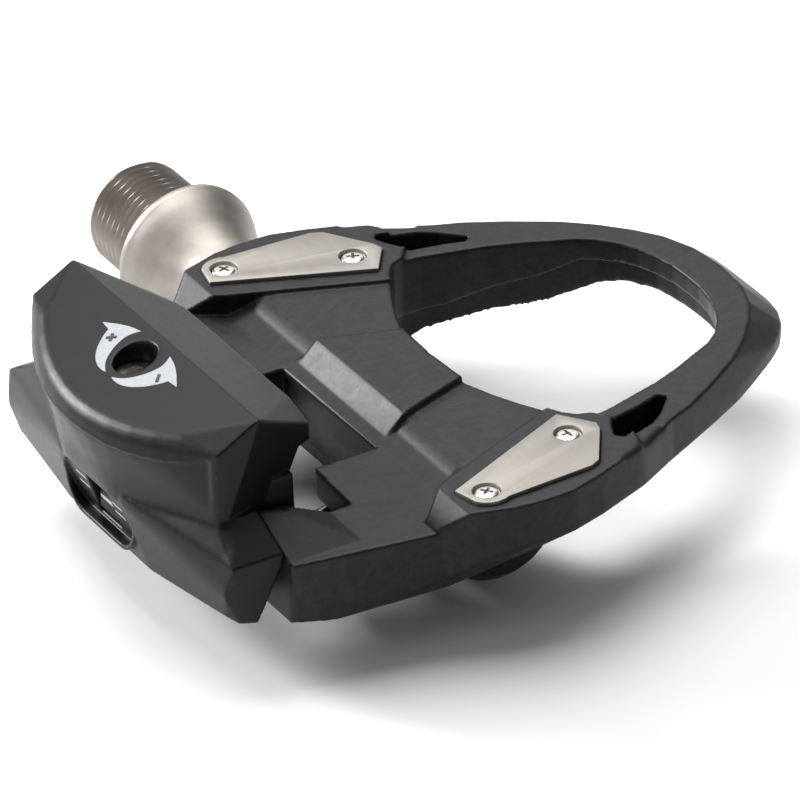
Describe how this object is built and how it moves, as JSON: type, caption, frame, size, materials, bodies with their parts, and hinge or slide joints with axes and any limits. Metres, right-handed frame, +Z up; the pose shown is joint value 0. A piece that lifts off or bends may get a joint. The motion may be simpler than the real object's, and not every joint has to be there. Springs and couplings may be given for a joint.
{
  "type": "clipless pedal",
  "caption": "Right-hand road clipless pedal: composite loop body on a threaded steel spindle, steel wear plates and a sprung rear claw with adjustable release tension.",
  "frame": {"origin": "on the spindle axis, at the shoulder that seats against the crank arm", "axes": "+X points forward, towards the front of the loop; +Y runs along the spindle towards the crank; +Z is up, out of the shoe side"},
  "size_m": [0.0941, 0.1029, 0.0318],
  "materials": {
    "body_composite": "carbon-fibre-filled nylon, moulded, satin-matte with a fine mottle",
    "claw_composite": "glass-fibre-filled nylon, fine moulded grain, satin",
    "blasted_steel": "bead-blasted chrome-molybdenum steel, satin",
    "plate_steel": "stamped stainless steel, fine satin grain",
    "screw_steel": "stainless steel, turned and polished",
    "bearing_steel": "ground and polished bearing steel",
    "zinc_steel": "zinc-plated steel, dull",
    "pin_steel": "ground steel pin",
    "spring_steel": "oiled spring wire",
    "sleeve_alloy": "turned aluminium tube",
    "collar_resin": "black acetal, moulded",
    "cage_resin": "moulded polyamide cage",
    "seal_rubber": "black nitrile rubber"
  },
  "bodies": {
    "spindle": {"spindle": "blasted_steel", "outboard_cone": "bearing_steel", "tab_washer": "zinc_steel", "lock_nut": "zinc_steel"},
    "pedal_body": {"body": "body_composite", "plate_inboard": "plate_steel", "plate_outboard": "plate_steel", "plate_screws": "screw_steel", "lock_bolt": "collar_resin", "seal_ring": "seal_rubber", "axle_sleeve": "sleeve_alloy", "cup_inboard": "bearing_steel", "cup_outboard": "bearing_steel", "needle_race": "bearing_steel", "pivot_pin": "pin_steel", "spring_inboard": "spring_steel", "spring_outboard": "spring_steel", "spring_spacer": "collar_resin"},
    "ball_ring_inboard": {"balls_inboard": "bearing_steel"},
    "ball_ring_outboard": {"balls_outboard": "bearing_steel"},
    "needle_set": {"needle_rollers": "bearing_steel", "needle_cage": "cage_resin"},
    "claw": {"claw": "claw_composite"},
    "tension_bolt": {"tension_bolt": "screw_steel", "bolt_retainer": "spring_steel"},
    "tension_nut": {"tension_nut": "zinc_steel"}
  },
  "joints": [
    {"name": "body_spin", "type": "hinge", "parent": "spindle", "child": "pedal_body", "pos_m": [0, 0, 0], "axis": [0, 1, 0], "continuous": true},
    {"name": "ball_ring_inboard_spin", "type": "hinge", "parent": "spindle", "child": "ball_ring_inboard", "pos_m": [0, -0.048, 0], "axis": [0, 1, 0], "continuous": true},
    {"name": "ball_ring_outboard_spin", "type": "hinge", "parent": "spindle", "child": "ball_ring_outboard", "pos_m": [0, -0.0665, 0], "axis": [0, 1, 0], "continuous": true},
    {"name": "needle_set_spin", "type": "hinge", "parent": "spindle", "child": "needle_set", "pos_m": [0, -0.033, 0], "axis": [0, 1, 0], "continuous": true},
    {"name": "claw_hinge", "type": "hinge", "parent": "pedal_body", "child": "claw", "pos_m": [-0.0255, -0.052, 0.001], "axis": [0, -1, 0], "range_deg": [0, 22], "stiffness_Nm_per_rad": 8, "deforming": ["spring_inboard", "spring_outboard"]},
    {"name": "tension_bolt_turn", "type": "hinge", "parent": "claw", "child": "tension_bolt", "pos_m": [-0.0341, -0.052, 0.01], "axis": [0, 0, 1], "range_deg": [0, 1440]},
    {"name": "tension_nut_slide", "type": "slide", "parent": "claw", "child": "tension_nut", "axis": [0, 0, 1], "range_m": [0, 0.0028]}
  ],
  "couplings": [
    {"joint": "ball_ring_inboard_spin", "follows": "body_spin", "ratio": 0.6212},
    {"joint": "ball_ring_outboard_spin", "follows": "body_spin", "ratio": 0.6212},
    {"joint": "needle_set_spin", "follows": "body_spin", "ratio": 0.5698},
    {"joint": "tension_bolt_turn", "follows": "tension_nut_slide", "rad_per_m": 8975.9}
  ]
}
